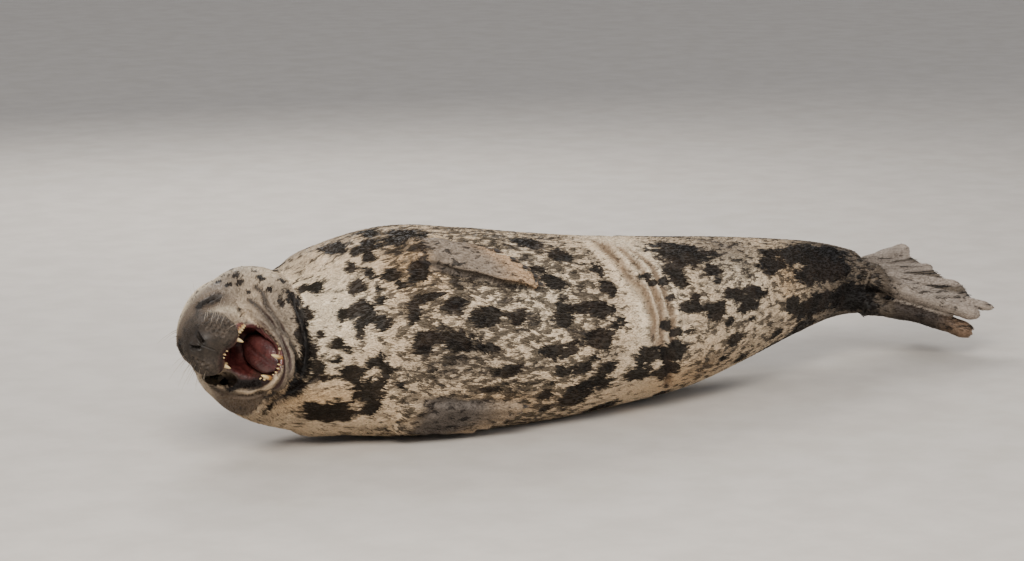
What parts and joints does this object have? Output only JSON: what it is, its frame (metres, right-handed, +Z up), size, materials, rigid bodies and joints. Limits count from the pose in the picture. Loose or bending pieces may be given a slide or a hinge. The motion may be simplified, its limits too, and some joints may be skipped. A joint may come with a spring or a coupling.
{
  "type": "grey seal, still life-size model",
  "caption": "Grey seal lying on its right side with mouth wide open, fore flippers folded on the flanks and hind flippers trailing.",
  "frame": {"origin": "middle of the bounding box in X and Y, at the floor the animal lies on", "axes": "+Z up; the head points to -X, the belly to -Y and the animal's left side upwards"},
  "size_m": [1.9982, 0.4104, 0.4024],
  "materials": {
    "coat": "short dense fur, cream with jagged black blotches",
    "face": "very short grey-brown fur, damp round the eyes and nose",
    "flipper": "grey-brown leathery skin under sparse short fur",
    "mouth": "wet dark red flesh",
    "eye": "wet near-black eye behind almost closed lids",
    "teeth": "yellowed enamel",
    "claw": "dark horn",
    "whisker": "stiff pale bristle"
  },
  "bodies": {
    "root": {"head": "face", "lower_jaw": "face", "tongue": "mouth", "eye_left": "eye", "eye_right": "eye", "neck": "coat", "chest": "coat", "abdomen": "coat", "hindquarters": "coat", "tail": "coat", "fore_flipper_left": "flipper", "fore_flipper_right": "flipper", "hind_flipper_left": "flipper", "hind_flipper_right": "flipper"}
  },
  "joints": []
}
